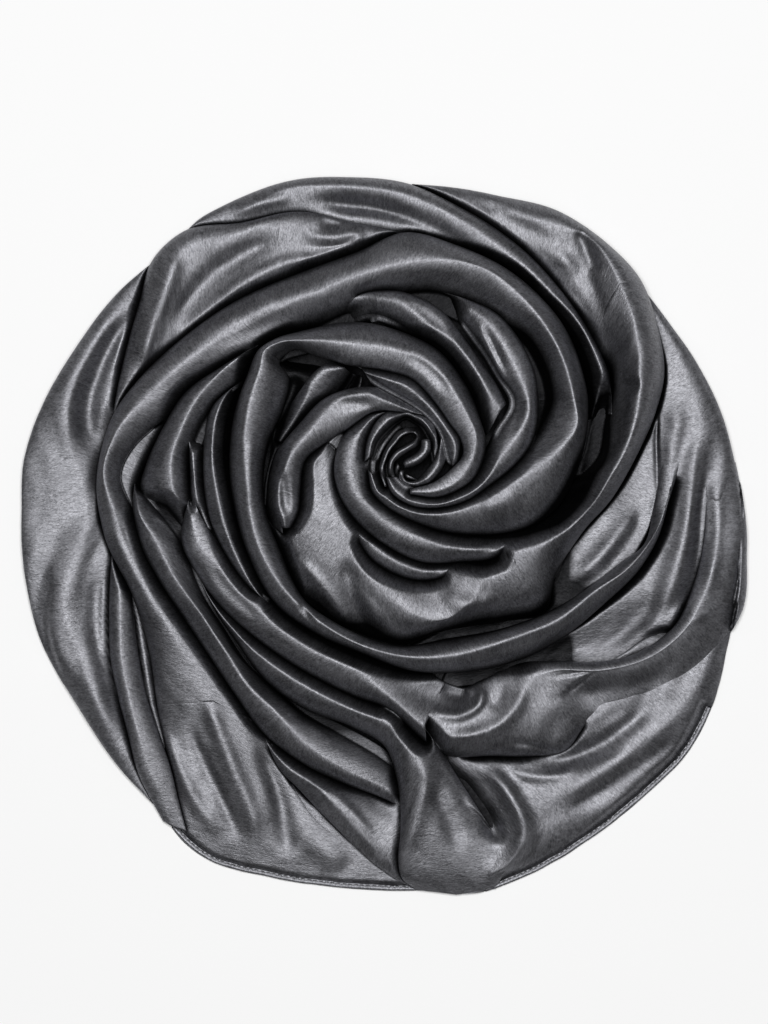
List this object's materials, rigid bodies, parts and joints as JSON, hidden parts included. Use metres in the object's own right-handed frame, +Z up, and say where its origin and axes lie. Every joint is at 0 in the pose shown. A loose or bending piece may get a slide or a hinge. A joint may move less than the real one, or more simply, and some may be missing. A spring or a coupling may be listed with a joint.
{
  "type": "hijab",
  "caption": "Square satin hijab pinched at its middle and twisted into a round rosette that lies flat, with rolled folds winding in to a swirl and a narrow stitched hem along its lower edge",
  "frame": {"origin": "centre of the rosette's plan box, on the surface that it lies on", "axes": "+Z up from the surface, +X to the right and +Y to the top of the rosette as seen from above"},
  "size_m": [0.3641, 0.36, 0.032],
  "materials": {
    "cradle_fold": "dark grey satin",
    "cradle_fold_b": "dark grey satin",
    "cradle_fold_c": "dark grey satin",
    "crown_lining": "dark grey satin",
    "crown_roll": "dark grey satin",
    "heart_core": "dark grey satin",
    "heart_loop": "dark grey satin",
    "heart_petal": "dark grey satin",
    "heart_rim": "dark grey satin",
    "heart_tip": "dark grey satin",
    "hem_lower_left": "dark grey satin",
    "hem_lower_right": "dark grey satin",
    "hidden_layers": "dark grey satin",
    "inner_left_roll": "dark grey satin",
    "inner_sweep": "dark grey satin",
    "left_inner_roll": "dark grey satin",
    "left_lower_roll": "dark grey satin",
    "left_narrow_roll": "dark grey satin",
    "left_panel": "dark grey satin",
    "left_panel_b": "dark grey satin",
    "left_sheet": "dark grey satin",
    "left_strip": "dark grey satin",
    "left_sweep": "dark grey satin",
    "lower_left_skirt": "dark grey satin",
    "lower_right_panel": "dark grey satin",
    "lower_right_panel_b": "dark grey satin",
    "lower_right_roll": "dark grey satin",
    "lower_roll": "dark grey satin",
    "main_roll": "dark grey satin",
    "narrow_roll_top": "dark grey satin",
    "petal": "dark grey satin",
    "petal_side": "dark grey satin",
    "right_inner_roll": "dark grey satin",
    "right_panel": "dark grey satin",
    "right_panel_b": "dark grey satin",
    "right_roll": "dark grey satin",
    "ring_band": "dark grey satin",
    "ring_roll": "dark grey satin",
    "s_fold": "dark grey satin",
    "top_roll": "dark grey satin",
    "tucked_edge": "dark grey satin",
    "upper_inner_fold": "dark grey satin",
    "upper_inner_sheet": "dark grey satin",
    "upper_left_panel": "dark grey satin",
    "upper_right_panel": "dark grey satin"
  },
  "bodies": {
    "root": {"cradle_fold": "cradle_fold", "cradle_fold_b": "cradle_fold_b", "cradle_fold_c": "cradle_fold_c", "crown_lining": "crown_lining", "crown_roll": "crown_roll", "heart_core": "heart_core", "heart_loop": "heart_loop", "heart_petal": "heart_petal", "heart_rim": "heart_rim", "heart_tip": "heart_tip", "hem_lower_left": "hem_lower_left", "hem_lower_right": "hem_lower_right", "hidden_layers": "hidden_layers", "inner_left_roll": "inner_left_roll", "inner_sweep": "inner_sweep", "left_inner_roll": "left_inner_roll", "left_lower_roll": "left_lower_roll", "left_narrow_roll": "left_narrow_roll", "left_panel": "left_panel", "left_panel_b": "left_panel_b", "left_sheet": "left_sheet", "left_strip": "left_strip", "left_sweep": "left_sweep", "lower_left_skirt": "lower_left_skirt", "lower_right_panel": "lower_right_panel", "lower_right_panel_b": "lower_right_panel_b", "lower_right_roll": "lower_right_roll", "lower_roll": "lower_roll", "main_roll": "main_roll", "narrow_roll_top": "narrow_roll_top", "petal": "petal", "petal_side": "petal_side", "right_inner_roll": "right_inner_roll", "right_panel": "right_panel", "right_panel_b": "right_panel_b", "right_roll": "right_roll", "ring_band": "ring_band", "ring_roll": "ring_roll", "s_fold": "s_fold", "top_roll": "top_roll", "tucked_edge": "tucked_edge", "upper_inner_fold": "upper_inner_fold", "upper_inner_sheet": "upper_inner_sheet", "upper_left_panel": "upper_left_panel", "upper_right_panel": "upper_right_panel"}
  },
  "joints": []
}
